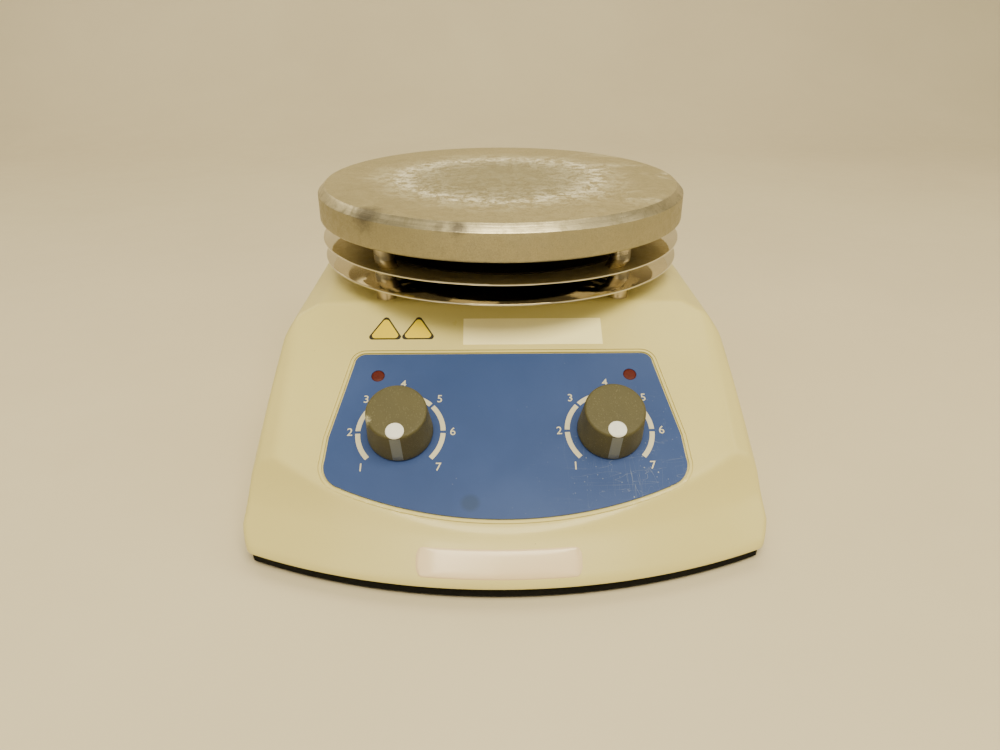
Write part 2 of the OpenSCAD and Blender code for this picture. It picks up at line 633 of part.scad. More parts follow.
module pointer(x) {
  color("#f4f2ea") on_panel(x, 0) intersection() {
    translate([0, 0, 0]) knob_form(0.12);
    pointer_cut();
  }
}
module control_shaft(x) {
  color("#b9bbbc") on_panel(x, 0) translate([0, 0, -19]) cylinder(d = shaft_d, h = 32);
}
module heating_knob() { knob(-dial_x); }
module heating_pointer() { pointer(-dial_x); }
module heating_shaft() { control_shaft(-dial_x); }
module stirring_knob() { knob(dial_x); }
module stirring_pointer() { pointer(dial_x); }
module stirring_shaft() { control_shaft(dial_x); }

housing();
base_plate();
rubber_feet();
foot_screws();
base_screws();
fascia();
dial_rings();
heating_lamp();
stirring_lamp();
lamp_leds();
pot_bodies();
pot_nuts();
control_board();
board_parts();
board_screws();
motor_bracket();
bracket_screws();
motor_can();
motor_bearings();
power_inlet();
inlet_pins();
inlet_screws();
work_plate();
heater_element();
heater_clamp();
thermal_sensor();
upper_shield();
lower_shield();
spacers_upper();
spacers_middle();
spacers_lower();
pillar_studs();
pillar_nuts();
lead_bushing();
heater_leads();
rod_socket();
brow_label();
apron_label();
hazard_signs();
motor_shaft();
armature();
magnet_carrier();
drive_magnets();
grub_screw();
heating_knob();
heating_pointer();
heating_shaft();
stirring_knob();
stirring_pointer();
stirring_shaft();
fuse_drawer();
fuses();
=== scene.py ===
import math
import bpy
import bmesh
import numpy as np
from mathutils import Matrix, Vector


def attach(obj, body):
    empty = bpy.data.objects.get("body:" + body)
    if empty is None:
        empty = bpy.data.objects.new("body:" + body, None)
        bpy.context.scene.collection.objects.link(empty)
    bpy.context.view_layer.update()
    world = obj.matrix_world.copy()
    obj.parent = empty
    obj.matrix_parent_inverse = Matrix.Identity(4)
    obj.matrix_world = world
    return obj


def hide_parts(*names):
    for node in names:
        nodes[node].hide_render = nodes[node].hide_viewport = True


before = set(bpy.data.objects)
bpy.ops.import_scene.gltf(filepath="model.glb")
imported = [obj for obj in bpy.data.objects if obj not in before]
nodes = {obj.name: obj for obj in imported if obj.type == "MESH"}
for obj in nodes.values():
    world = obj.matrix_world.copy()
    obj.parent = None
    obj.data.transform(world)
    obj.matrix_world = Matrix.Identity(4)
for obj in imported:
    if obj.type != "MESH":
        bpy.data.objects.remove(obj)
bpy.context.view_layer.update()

scene = bpy.context.scene

# ---------------------------------------------------------------- sizes, metres
PLATE_Y = 0.014                             # the plate's axis
PILLAR, STUD_R = 0.0475, 0.0021             # half the pillars' spacing; radius of their stud holes
LEAD_Y = PLATE_Y + 0.047                    # where the heater leads go down
SLOPE = math.radians(31)
CS, TS = math.cos(SLOPE), math.tan(SLOPE)
DECK = 0.0715                               # height of the flat top
BROW = -0.039                               # where the slope leaves the deck
HALF_W = 0.0946
BOW, FRONT, REAR = 0.218, 0.135, 0.1325     # bow radius of the front; how far front and rear reach
DIAL_X, DIAL_Y = 0.0379, -0.0903
DIAL_Z = DECK + (DIAL_Y - BROW) * TS
LAMP_X, LAMP_Y = 0.0478, 0.0242             # in the panel's own plane
ROD_X, ROD_Y = 0.058, 0.103
INLET_X, INLET_Z = -0.038, 0.032
# the panel's own frame: origin midway between the dials, +y up the slope, +z out of it
PANEL = Matrix.Translation((0, DIAL_Y, DIAL_Z)) @ Matrix.Rotation(SLOPE, 4, "X")


# ---------------------------------------------------------------- camera
cam = bpy.data.cameras.new("camera")
cam.sensor_width = 36
cam.lens = 27.04
cam.clip_start = 0.01
cam_ob = bpy.data.objects.new("camera", cam)
scene.collection.objects.link(cam_ob)
cam_ob.location = (-0.0056, -0.325, 0.180)
cam_ob.rotation_euler = (math.radians(90 - 26.4), 0, math.radians(-0.9))
scene.camera = cam_ob


# ---------------------------------------------------------------- node helpers
class Mat:
    """A small builder for one node material."""

    def __init__(self, name):
        self.m = bpy.data.materials.new(name)
        self.m.use_nodes = True
        self.t = self.m.node_tree
        self.n = self.t.nodes
        self.b = self.n["Principled BSDF"]
        self.co = self.n.new("ShaderNodeTexCoord").outputs["Object"]

    def set(self, **kw):
        for k, v in kw.items():
            self.b.inputs[k.replace("_", " ")].default_value = v

    def link(self, a, b):
        self.t.links.new(a, b)

    def mapping(self, scale=(1, 1, 1), loc=(0, 0, 0), rot=(0, 0, 0)):
        n = self.n.new("ShaderNodeMapping")
        n.inputs["Scale"].default_value = scale
        n.inputs["Location"].default_value = loc
        n.inputs["Rotation"].default_value = rot
        self.link(self.co, n.inputs["Vector"])
        return n.outputs["Vector"]

    def noise(self, scale, detail=4, rough=0.55, dist=0.0, src=None):
        n = self.n.new("ShaderNodeTexNoise")
        n.inputs["Scale"].default_value = scale
        n.inputs["Detail"].default_value = detail
        n.inputs["Roughness"].default_value = rough
        n.inputs["Distortion"].default_value = dist
        self.link(src or self.co, n.inputs["Vector"])
        return n.outputs["Fac"]

    def voronoi(self, scale, out="Distance"):
        n = self.n.new("ShaderNodeTexVoronoi")
        n.inputs["Scale"].default_value = scale
        self.link(self.co, n.inputs["Vector"])
        return n.outputs[out]

    def ramp(self, src, stops):
        """A grey ramp through (position, value) stops."""
        n = self.n.new("ShaderNodeValToRGB")
        r = n.color_ramp
        while len(r.elements) < len(stops):
            r.elements.new(0.5)
        for e, (p, c) in zip(r.elements, stops):
            e.position = p
            e.color = (c, c, c, 1)
        self.link(src, n.inputs["Fac"])
        return n.outputs["Color"]

    def rise(self, src, lo, hi, top=1.0):
        """0 below lo, top above hi."""
        return self.ramp(src, [(lo, 0.0), (hi, top)])

    def fall(self, src, lo, hi, top=1.0):
        """top below lo, 0 above hi."""
        return self.ramp(src, [(lo, top), (hi, 0.0)])

    def mix(self, fac, a, b):
        n = self.n.new("ShaderNodeMix")
        n.data_type = "RGBA"
        for sock, v in ((n.inputs[0], fac), (n.inputs[6], a), (n.inputs[7], b)):
            if isinstance(v, (int, float)):
                sock.default_value = v
            elif isinstance(v, tuple):
                sock.default_value = (*v, 1)
            else:
                self.link(v, sock)
        return n.outputs[2]

    def math(self, op, a, b=0.0):
        n = self.n.new("ShaderNodeMath")
        n.operation = op
        for sock, v in ((n.inputs[0], a), (n.inputs[1], b)):
            if isinstance(v, (int, float)):
                sock.default_value = v
            else:
                self.link(v, sock)
        return n.outputs[0]

    def add(self, a, b):
        return self.math("ADD", a, b)

    def sub(self, a, b):
        return self.math("SUBTRACT", a, b)

    def mul(self, a, b):
        return self.math("MULTIPLY", a, b)

    def split(self, src=None):
        n = self.n.new("ShaderNodeSeparateXYZ")
        self.link(src or self.co, n.inputs[0])
        return n.outputs

    def away(self, axes, point, stretch=(1, 1, 1)):
        """Distance from a point over the given axes, each stretched."""
        total = 0.0
        for axis, at, s in zip(axes, point, stretch):
            total = self.add(self.math("POWER", self.mul(self.sub(axis, at), s), 2.0), total)
        return self.math("SQRT", total)

    def ragged(self, src, noise, amount):
        """A value pushed up and down by a noise."""
        return self.add(src, self.mul(self.sub(noise, 0.5), amount))

    def color(self, src):
        self.link(src, self.b.inputs["Base Color"])

    def rough(self, src, lo, smooth, hi, dull):
        """Roughness smooth where src is below lo, dull where it is above hi."""
        self.link(self.ramp(src, [(lo, smooth), (hi, dull)]), self.b.inputs["Roughness"])

    def bump(self, *layers):
        """Bump from (height, strength, distance) layers, each on top of the one before."""
        prev = None
        for height, strength, dist in layers:
            n = self.n.new("ShaderNodeBump")
            n.inputs["Strength"].default_value = strength
            n.inputs["Distance"].default_value = dist
            self.link(height, n.inputs["Height"])
            if prev:
                self.link(prev, n.inputs["Normal"])
            prev = n.outputs["Normal"]
        self.link(prev, self.b.inputs["Normal"])


def shade(col, k):
    return tuple(min(1, c * k) for c in col)


def basic(name, col, metal=0.0, rough=0.45, grain=900, bump=0.1, vary=0.12, streak=None, coat=0.0):
    """Colour with cloudy variation, uneven gloss and a fine surface grain, drawn out by streak."""
    m = Mat(name)
    m.set(Metallic=metal)
    if coat:
        m.set(Coat_Weight=coat, Coat_Roughness=0.12)
    src = m.mapping(scale=streak) if streak else None
    cloud = m.noise(38, 5, 0.6, 0.4)
    fine = m.noise(grain, 3, 0.6, src=src)
    m.color(m.mix(m.rise(cloud, 0.3, 0.7), shade(col, 1 - vary), shade(col, 1 + vary)))
    m.rough(m.mix(0.5, cloud, fine), 0.3, max(0.03, rough * 0.75), 0.7, min(1, rough * 1.25))
    m.bump((fine, bump, 0.0004))
    return m


# ---------------------------------------------------------------- mesh helpers
def new_mesh(name, verts, faces, mat=None, smooth=True):
    me = bpy.data.meshes.new(name)
    me.from_pydata([tuple(v) for v in verts], [], [tuple(f) for f in faces])
    me.update()
    ob = bpy.data.objects.new(name, me)
    scene.collection.objects.link(ob)
    if smooth:
        me.polygons.foreach_set("use_smooth", [True] * len(me.polygons))
    if mat:
        me.materials.append(mat.m)
    return ob


def circle(r, n):
    return [(r * math.cos(2 * math.pi * i / n), r * math.sin(2 * math.pi * i / n)) for i in range(n)]


def lathe(name, profile, n, mat, place, closed=False):
    """Turns an (r, z) outline about +Z. Points on the axis become one vertex."""
    verts, rings, faces = [], [], []
    for r, z in profile:
        if r < 1e-7:
            rings.append([len(verts)])
            verts.append((0, 0, z))
        else:
            rings.append(list(range(len(verts), len(verts) + n)))
            verts += [(a, b, z) for a, b in circle(r, n)]
    for a, b in zip(rings, rings[1:] + (rings[:1] if closed else [])):
        if len(a) == 1 and len(b) == 1:
            continue
        for i in range(n):
            j = (i + 1) % n
            if len(a) == 1:
                faces.append((a[0], b[j], b[i]))
            elif len(b) == 1:
                faces.append((a[i], a[j], b[0]))
            else:
                faces.append((a[i], a[j], b[j], b[i]))
    ob = new_mesh(name, [place @ Vector(v) for v in verts], faces, mat)
    fix_normals(ob)
    return ob


def fix_normals(ob):
    bm = bmesh.new()
    bm.from_mesh(ob.data)
    bmesh.ops.recalc_face_normals(bm, faces=bm.faces)
    bm.to_mesh(ob.data)
    bm.free()


def rounded(points, radii, seg):
    """Rounds the corners of a polyline of (a, b) points; a radius of 0 leaves its corner as it is."""
    out = []
    n = len(points)
    for i, (p, r) in enumerate(zip(points, radii)):
        if r <= 0:
            out.append(p)
            continue
        a, b = Vector(points[i - 1]), Vector(points[(i + 1) % n])
        p = Vector(p)
        u, v = (a - p).normalized(), (b - p).normalized()
        ang = u.angle(v) / 2
        t = min(r / math.tan(ang), (a - p).length * 0.49, (b - p).length * 0.49)
        rr = t * math.tan(ang)
        c = p + (u + v).normalized() * (rr / math.sin(ang))
        s, e = p + u * t - c, p + v * t - c
        for k in range(seg + 1):
            out.append(tuple(c + s.lerp(e, k / seg).normalized() * rr))
    return out


def arc(cx, cy, r, a0, a1, n):
    """n + 1 points of an arc, angles in degrees."""
    t = [math.radians(a0 + (a1 - a0) * k / n) for k in range(n + 1)]
    return [(cx + r * math.cos(a), cy + r * math.sin(a)) for a in t]


def prism(outline, z0, z1, place=Matrix.Identity(4)):
    n = len(outline)
    v = [place @ Vector((a, b, z)) for z in (z0, z1) for a, b in outline]
    f = [tuple(range(n - 1, -1, -1)), tuple(range(n, 2 * n))]
    f += [(i, (i + 1) % n, (i + 1) % n + n, i + n) for i in range(n)]
    return new_mesh("cut", v, f, smooth=False)


def disc(r, z0, z1, place, n=64):
    return prism(circle(r, n), z0, z1, place)


def stud_holes(z0, z1, n):
    """Cutters for the four pillars' studs."""
    return [disc(STUD_R, z0, z1, Matrix.Translation((sx * PILLAR, PLATE_Y + sy * PILLAR, 0)), n)
            for sx in (-1, 1) for sy in (-1, 1)]


def smooth_by_angle(ob, deg):
    me = ob.data
    me.polygons.foreach_set("use_smooth", [True] * len(me.polygons))
    bm = bmesh.new()
    bm.from_mesh(me)
    for e in bm.edges:
        e.smooth = not (len(e.link_faces) == 2 and e.calc_face_angle(0) > math.radians(deg))
    bm.to_mesh(me)
    bm.free()


def join(name, obs):
    """Joins meshes into one, keeping their materials."""
    bm = bmesh.new()
    mats = []
    for o in obs:
        base = len(bm.faces)
        bm.from_mesh(o.data)
        bm.faces.ensure_lookup_table()
        idx = []
        for mat in o.data.materials:
            if mat not in mats:
                mats.append(mat)
            idx.append(mats.index(mat))
        for f in bm.faces[base:]:
            f.material_index = idx[f.material_index] if idx else 0
    me = bpy.data.meshes.new(name)
    bm.to_mesh(me)
    bm.free()
    for mat in mats:
        me.materials.append(mat)
    ob = bpy.data.objects.new(name, me)
    scene.collection.objects.link(ob)
    for o in obs:
        bpy.data.objects.remove(o)
    return ob


def repaint(ob, mat):
    ob.data.materials.clear()
    ob.data.materials.append(mat.m)


def carve(ob, cuts, mat):
    """Cuts shapes out of a piece and settles its shading."""
    for c in cuts:
        fix_normals(c)
    cutter = join("cutters", cuts)
    mod = ob.modifiers.new("cut", "BOOLEAN")
    mod.object = cutter
    mod.operation = "DIFFERENCE"
    mod.solver = "EXACT"
    mod.use_self = True
    bpy.context.view_layer.update()
    dg = bpy.context.evaluated_depsgraph_get()
    me = bpy.data.meshes.new_from_object(ob.evaluated_get(dg))
    ob.modifiers.clear()
    old = ob.data
    ob.data = me
    bpy.data.meshes.remove(old)
    bpy.data.objects.remove(cutter)
    smooth_by_angle(ob, 40)
    repaint(ob, mat)


def piece(ob, body, slot, *replaced):
    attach(ob, body)
    if replaced:
        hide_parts(*replaced)


# ---------------------------------------------------------------- housing form
def fillet(a, b, deg, r):
    """The larger of two faces' distances, their edge rounded to r; deg is the angle between the normals."""
    ang = np.radians(deg)
    c, k = np.cos(ang), np.sin(ang)
    p, q = a + r, b + r
    edge = (p > c * q) & (q > c * p)
    return np.where(edge, np.sqrt(np.maximum(p * p + q * q - 2 * p * q * c, 0)) / k - r, np.maximum(a, b))


def line(a, b, u, v):
    """Signed distance of (u, v) from the line through a and b, positive on its right."""
    n = Vector((b[1] - a[1], a[0] - b[0])).normalized()
    return (u - a[0]) * n[0] + (v - a[1]) * n[1]


def blur(values, width):
    """Smooths evenly spaced values with a window of an odd width."""
    window = np.hanning(width)
    return np.convolve(np.pad(values, width // 2, "edge"), window / window.sum(), "valid")


# Apron section, radius against height: lip, slanted face and the steeper wall behind it,
# a little softened at the lip and more above it
AZ = np.linspace(-0.006, 0.090, 961)
AR = np.interp(AZ, [-0.002, 0.0072, 0.009, 0.0204, 0.027, 0.036, 0.050, 0.090],
               [BOW - 0.0022, BOW, BOW - 0.0008, BOW - 0.0119,
                BOW - 0.0156, BOW - 0.0192, BOW - 0.0230, BOW - 0.0260])
AR = blur(AR, 19)
AR = AR + (blur(AR, 121) - AR) * np.clip((AZ - 0.014) / 0.008, 0, 1)
AE = np.degrees(np.arctan2(-np.gradient(AR), np.gradient(AZ)))      # how far the face looks up

# the side's section, (x, z) points from the wall up to the deck
WALL, WAIST = (HALF_W, 0.014), (HALF_W - 0.006, 0.050)
CHEST, SHOULDER = (HALF_W - 0.0076, 0.061), (HALF_W - 0.0122, 0.0678)
# bevels beside the slope, (x, height over the slope) points
BEVELS = (0.082, 0.0), (0.0893, -0.004), (0.099, -0.018)
# the deck's rear edge, (z, -y) points
HEELS = (0.059, -REAR), (0.065, -0.1275), (0.0715, -0.114)
# outline corners: centre's x, front and rear centres' y, front and rear radii, and the taper between them
CORNER_X, FRONT_Y, REAR_Y = 0.0723, -0.103, REAR - 0.016
FRONT_R, REAR_R, TAPER = 0.022, 0.016, 0.006


def form(p, d=0.0):
    """Signed distance of the rounded housing form at points p (n, 3), negative inside; d pulls it in."""
    x, y, z = np.abs(p[:, 0]), p[:, 1], p[:, 2]
    # deck, shoulders, slope and the bevels beside it
    top = fillet(z - DECK, line(SHOULDER, (0.073, DECK), x, z), 21.5, 0.010)
    fall = (z - DECK - (y - BROW) * TS) * CS
    slope = fillet(fall, -line(BEVELS[0], BEVELS[1], x, fall), 28.7, 0.008)
    slope = fillet(slope, -line(BEVELS[1], BEVELS[2], x, fall), 26.6, 0.008)
    top = fillet(top, slope, 31, 0.005)
    # rear edge of the deck
    back = fillet(y - REAR, -line(HEELS[1], HEELS[0], z, -y), 39.8, 0.006)
    back = fillet(back, -line(HEELS[2], HEELS[1], z, -y), 24.5, 0.006)
    top = fillet(top, back, 25.7, 0.006)
    # bowed apron
    rho = np.hypot(x, y - (BOW - FRONT))
    elev = np.interp(z, AZ, AE)
    apron = (rho - np.interp(z, AZ, AR)) * np.cos(np.radians(elev))
    # the soft edge runs from the panel's foot out to the corners
    soft = np.interp(x, [0.0, 0.05, 0.09], [0.006, 0.005, 0.004])
    top = fillet(top, apron, np.maximum(59 - elev, 12), soft)
    # sides and the corners of the outline
    flank = fillet(x - HALF_W, line(WALL, WAIST, x, z), 9.5, 0.02)
    flank = np.maximum(flank, line(WAIST, CHEST, x, z))
    flank = fillet(flank, line(CHEST, SHOULDER, x, z), 25, 0.008)
    a = math.asin(TAPER / (REAR_Y - FRONT_Y))
    side = (x - CORNER_X) * math.cos(a) + (y - FRONT_Y) * math.sin(a) - FRONT_R
    out = np.maximum(x - CORNER_X, 0)
    front_corner = np.hypot(out, np.minimum(y - FRONT_Y, 0)) - FRONT_R
    rear_corner = np.hypot(out, np.maximum(y - REAR_Y, 0)) - REAR_R
    side = np.maximum(side, np.where((y < FRONT_Y) & (x > CORNER_X), front_corner, -1.0))
    side = np.maximum(side, np.where((y > REAR_Y) & (x > CORNER_X), rear_corner, -1.0))
    return fillet(top, np.maximum(flank, side), 34, 0.006) + d


def bisect(inside, lo, hi, rounds):
    """Where inside() turns false between lo, where it is true, and hi; all may be arrays."""
    for _ in range(rounds):
        mid = (lo + hi) / 2
        w = inside(mid)
        lo, hi = np.where(w, mid, lo), np.where(w, hi, mid)
    return (lo + hi) / 2


SKIN_STEP, SKIN_FLOOR, SKIN_WALL = 0.0017, 0.0066, 0.003


def skin(d):
    """Shoots rays from the middle of the floor through a gridded box and stops them on the form."""
    y0, y1, top = -0.1352, 0.1327, 0.0717
    pack = 1.25                 # rows up the side: how many more, and how much closer at the rim
    counts = (2 * HALF_W, y1 - y0, (top - SKIN_FLOOR) * pack)
    nx, ny, nz = [int(round(v / SKIN_STEP)) for v in counts]
    xs = np.linspace(-HALF_W, HALF_W, nx + 1)
    ys = np.linspace(y0, y1, ny + 1)
    zs = SKIN_FLOOR + (top - SKIN_FLOOR) * np.linspace(0, 1, nz + 1) ** pack
    verts, index, faces = [], {}, []

    def vid(i, j, k):
        key = (i, j, k)
        if key not in index:
            index[key] = len(verts)
            verts.append((xs[i], ys[j], zs[k]))
        return index[key]

    for i in range(nx):
        for j in range(ny):
            faces.append((vid(i, j, nz), vid(i + 1, j, nz), vid(i + 1, j + 1, nz), vid(i, j + 1, nz)))
    ring = [(i, 0) for i in range(nx)] + [(nx, j) for j in range(ny)]
    ring += [(i, ny) for i in range(nx, 0, -1)] + [(0, j) for j in range(ny, 0, -1)]
    for a, b in zip(ring, ring[1:] + ring[:1]):
        for k in range(nz):
            faces.append((vid(*a, k), vid(*b, k), vid(*b, k + 1), vid(*a, k + 1)))
    rim = [vid(*a, 0) for a in ring]
    p = np.array(verts)
    eye = np.array([0, -0.001, SKIN_FLOOR])
    ray = p - eye
    t = bisect(lambda t: form(eye + ray * t[:, None], d) < 0, np.zeros(len(p)), np.full(len(p), 1.3), 34)
    return eye + ray * t[:, None], faces, rim


def housing_shell(mat):
    """Outer and inner skin, joined along the rim."""
    outer, faces, rim = skin(0.0)
    inner, inner_faces, inner_rim = skin(SKIN_WALL)
    n = len(outer)
    faces = faces + [tuple(i + n for i in reversed(f)) for f in inner_faces]
    for a, b in zip(range(len(rim)), list(range(1, len(rim))) + [0]):
        faces.append((rim[b], rim[a], inner_rim[a] + n, inner_rim[b] + n))
    ob = new_mesh("housing_skin", np.vstack([outer, inner]), faces, mat)
    fix_normals(ob)
    return ob


def fascia_outline(g):
    """The panel's outline in its own plane, g wider all round: straight top, flared sides, round lower
    corners, bowed foot."""
    up, top, low, bow, ear = 0.034, 0.057, 0.0643, 0.146, 0.009
    yc, ex, ey = bow - 0.0336, low - ear, -0.0129
    meet = math.degrees(math.atan2(ey - yc, ex))
    right = arc(0, yc, bow + g, -90, meet, 24)[1:] + arc(ex, ey, ear + g, meet, 10, 12)[1:]
    right += [(0.0636 + g, -0.002), (0.0607 + g, 0.012)]
    right += arc(top - 0.004, up - 0.004, 0.004 + g, 12, 90, 8)
    return [(0, yc - bow - g)] + right + [(-a, b) for a, b in reversed(right)]


def fascia_groove(outer, inner, z0, z1):
    """Cutter for a closed line around the panel, between two outlines."""
    outer, inner = fascia_outline(outer), fascia_outline(inner)
    n = len(outer)
    loops = [PANEL @ Vector((a, b, z)) for z, outline in ((z0, outer), (z1, outer), (z1, inner), (z0, inner))
             for a, b in outline]
    quads = [(k * n + i, k * n + (i + 1) % n, (k + 1) % 4 * n + (i + 1) % n, (k + 1) % 4 * n + i)
             for k in range(4) for i in range(n)]
    return new_mesh("groove", loops, quads, smooth=False)


# ================================================================ materials
CREAM = (0.66, 0.585, 0.23)
BLUE = (0.038, 0.073, 0.225)
OLIVE = (0.076, 0.068, 0.028)
STAIN_Z = 0.1085                # the plate's stains sit on its bevel
RUBBED = PANEL @ Vector((-DIAL_X - 0.0101, -0.0034, 0.0146))      # worn spot on the left knob's rim

# housing: glossy cream with orange peel, dust specks and faint dirt
shell_mat = m = Mat("shell_cream")
m.set(IOR=1.5, Coat_Weight=0.25, Coat_Roughness=0.10, Specular_IOR_Level=0.35)
cloud = m.noise(14, 6, 0.6, 0.5)
peel = m.noise(520, 2, 0.5)
col = m.mix(m.rise(cloud, 0.3, 0.75), shade(CREAM, 0.96), shade(CREAM, 1.03))
dirt = m.rise(m.noise(210, 8, 0.75, 0.6), 0.62, 0.72)
dust = m.mul(m.fall(m.voronoi(230), 0.028, 0.05), m.rise(m.noise(26, 3, 0.6), 0.5, 0.68))
col = m.mix(m.mul(dirt, 0.13), col, (0.33, 0.28, 0.16))
col = m.mix(m.mul(dust, 0.55), col, (0.16, 0.13, 0.08))
m.color(col)
m.rough(m.mix(0.4, cloud, m.noise(90, 4)), 0.3, 0.26, 0.75, 0.42)
m.bump((peel, 0.06, 0.0004), (cloud, 0.05, 0.002))


def stained(m, xyz, col, spots):
    """Burnt-on patches on the plate's rim, each (x, y, size, amount) from its axis."""
    for x, y, size, amount in spots:
        d = m.ragged(m.away(xyz, (x, y, STAIN_Z)), m.noise(300, 7, 0.75), size * 1.3)
        patch = m.fall(m.math("DIVIDE", d, size), 0.35, 0.95)
        col = m.mix(m.mul(patch, amount), col, (0.12, 0.105, 0.08))
    return col


# heating plate: cast aluminium, worn and stained by use
plate_mat = m = Mat("plate_cast_aluminium")
xyz = m.split(m.mapping(loc=(0, -PLATE_Y, 0)))
X, Y, Z = xyz
# distance from the axis with a ragged edge; 12 spreads it over the ramps
radius = m.mul(m.ragged(m.away((X, Y), (0, 0)), m.noise(26, 6, 0.62, 0.8), 0.022), 12.0)
halo = m.ramp(radius, [(0.26, 0.12), (0.44, 0.40), (0.53, 1.0), (0.60, 0.35), (0.74, 0.0)])
fine = m.noise(430, 9, 0.72, 0.2)
scuff = m.rise(m.noise(250, 10, 0.82, 0.4), 0.45, 0.56)
col = m.mix(m.rise(m.noise(9, 5, 0.6, 0.6), 0.3, 0.7), (0.40, 0.350, 0.205), (0.50, 0.440, 0.265))
col = m.mix(m.mul(m.fall(radius, 0.40, 0.56), 0.55), col, (0.27, 0.25, 0.165))
top_only = m.rise(Z, 0.1080, 0.1098)
white = m.mul(m.mul(halo, scuff), top_only)
col = m.mix(white, col, (0.90, 0.87, 0.72))
haze = m.mul(m.rise(m.noise(34, 8, 0.7, 1.2), 0.48, 0.62), m.rise(m.mul(X, 12.0), 0.25, 0.70))
col = m.mix(m.mul(m.mul(haze, top_only), m.mul(scuff, 0.75)), col, (0.80, 0.76, 0.60))
pits = m.fall(m.voronoi(620), 0.05, 0.16)
pitted = m.mul(pits, m.rise(m.noise(75, 5, 0.7), 0.40, 0.62))
col = m.mix(m.mul(pitted, 0.55), col, (0.15, 0.13, 0.09))
grains = m.mul(m.fall(Z, 0.1065, 0.1072), m.rise(m.noise(2300, 5, 0.8), 0.40, 0.64, 0.45))
col = m.mix(grains, col, (0.18, 0.155, 0.10))
m.color(stained(m, xyz, col, [(-0.0515, -0.0590, 0.0085, 0.75), (-0.0165, -0.0775, 0.0042, 0.85),
                              (-0.0230, -0.0760, 0.0030, 0.5), (0.0655, -0.0420, 0.0040, 0.35)]))
m.link(m.ramp(white, [(0.0, 0.82), (0.6, 0.25)]), m.b.inputs["Metallic"])
m.rough(m.mix(0.5, fine, scuff), 0.3, 0.40, 0.7, 0.62)
m.bump((fine, 0.28, 0.0005), (pits, 0.25, -0.0003), (white, 0.15, 0.0003))

# the plate's bevel: turned bright, worn
bevel_mat = m = Mat("plate_turned_bevel")
xyz = m.split(m.mapping(loc=(0, -PLATE_Y, 0)))
turned = m.noise(1500, 2, 0.6, src=m.mapping(scale=(0.02, 0.02, 1.4)))
wear = m.noise(150, 8, 0.75, 0.5)
col = m.mix(m.rise(wear, 0.45, 0.62), (0.56, 0.50, 0.34), (0.36, 0.32, 0.21))
m.color(stained(m, xyz, col, [(-0.0515, -0.0590, 0.0085, 0.75), (-0.0165, -0.0775, 0.0045, 0.9),
                              (-0.0235, -0.0760, 0.0030, 0.5)]))
m.set(Metallic=0.9)
m.rough(m.mix(0.4, wear, turned), 0.35, 0.26, 0.65, 0.50)
m.bump((turned, 0.25, 0.0003), (wear, 0.12, 0.0004))

# heat shields: mirror finish with settled dust
shield_mat = m = Mat("shield_mirror")
m.set(Metallic=1.0)
smear = m.noise(30, 6, 0.65, 0.8)
grit = m.mul(m.fall(m.voronoi(700), 0.05, 0.10), m.rise(m.noise(60, 4, 0.7), 0.42, 0.66))
col = m.mix(m.rise(smear, 0.35, 0.7), (0.74, 0.70, 0.60), (0.66, 0.62, 0.51))
m.color(m.mix(m.mul(grit, 0.5), col, (0.50, 0.44, 0.32)))
m.rough(m.mix(0.35, smear, grit), 0.3, 0.05, 0.75, 0.20)
m.bump((smear, 0.03, 0.002), (grit, 0.1, 0.0002))

# spacers: dull nickel over brass, turned
spacer_mat = m = Mat("spacer_nickelled_brass")
m.set(Metallic=1.0)
turned = m.noise(1400, 2, 0.6, src=m.mapping(scale=(0.05, 0.05, 1.0)))
tarnish = m.noise(70, 5, 0.6)
m.color(m.mix(m.rise(tarnish, 0.35, 0.7), (0.62, 0.54, 0.37), (0.46, 0.38, 0.23)))
m.rough(m.mix(0.5, turned, tarnish), 0.35, 0.22, 0.65, 0.42)
m.bump((turned, 0.15, 0.0002))

# panel foil: fine emboss, a scratched lower right corner, flecks and a smudge
foil_mat = m = Mat("foil_blue")
m.set(IOR=1.48, Specular_IOR_Level=0.25)
cloud = m.noise(22, 5, 0.6, 0.4)
emboss = m.noise(1700, 2, 0.5)
col = m.mix(m.rise(cloud, 0.3, 0.7), shade(BLUE, 0.92), shade(BLUE, 1.07))
hairs = m.math("MAXIMUM",
               m.ramp(m.noise(160, 2, 0.5, 2.5, src=m.mapping(scale=(1, 0.10, 0.10), rot=(0, 0, 0.5))),
                      [(0.494, 0.0), (0.500, 1.0), (0.506, 0.0)]),
               m.ramp(m.noise(130, 2, 0.5, 2.2, src=m.mapping(scale=(0.12, 1, 1), rot=(0, 0, -0.7))),
                      [(0.495, 0.0), (0.500, 1.0), (0.505, 0.0)]))
X, Y, Z = m.split()
worn = m.ramp(m.away((X, Y), (0.050, -0.104), (1, 1.3)), [(0.006, 1.0), (0.030, 0.10), (0.055, 0.0)])
worn = m.mul(worn, m.rise(m.noise(70, 4, 0.7), 0.40, 0.60))
scratches = m.mul(hairs, worn)
col = m.mix(m.mul(scratches, 0.32), col, (0.36, 0.42, 0.50))
flecks = m.mul(m.fall(m.voronoi(420), 0.06, 0.13),
               m.math("MAXIMUM", m.mul(worn, 1.5), m.rise(m.noise(40, 3), 0.56, 0.70, 0.5)))
col = m.mix(m.mul(flecks, 0.55), col, (0.42, 0.47, 0.52))
smudge = m.math("DIVIDE", m.away((X, Y), (-0.0125, -0.1140), (1, 1.25)), 0.0042)
m.color(m.mix(m.mul(m.fall(smudge, 0.55, 0.95), 0.60), col, (0.030, 0.055, 0.125)))
m.rough(m.mix(0.35, cloud, scratches), 0.3, 0.30, 0.75, 0.48)
m.bump((emboss, 0.07, 0.0002), (scratches, 0.25, -0.0001))

